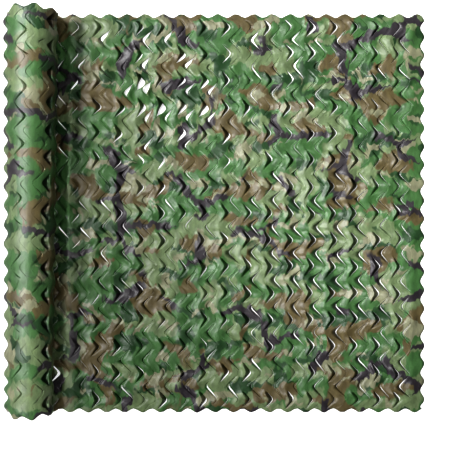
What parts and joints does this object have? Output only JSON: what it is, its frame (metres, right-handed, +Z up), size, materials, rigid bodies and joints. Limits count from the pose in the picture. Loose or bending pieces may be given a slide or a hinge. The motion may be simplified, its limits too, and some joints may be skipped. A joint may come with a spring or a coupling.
{
  "type": "camouflage netting",
  "caption": "Sheet of leaf-cut camouflage cloth with scalloped edges, laid flat, its left end wound into a roll.",
  "frame": {"origin": "middle of the base of the whole net, on the surface it lies on", "axes": "+X from the roll to the net's free end, +Y across the net's width to the roll's thicker end, +Z up"},
  "size_m": [1.5654, 1.5002, 0.1792],
  "materials": {
    "laid_cloth": "printed coated polyester weave, low sheen",
    "rolled_cloth": "printed coated polyester weave, low sheen"
  },
  "bodies": {
    "root": {"laid_net": "laid_cloth", "rolled_net": "rolled_cloth"}
  },
  "joints": []
}
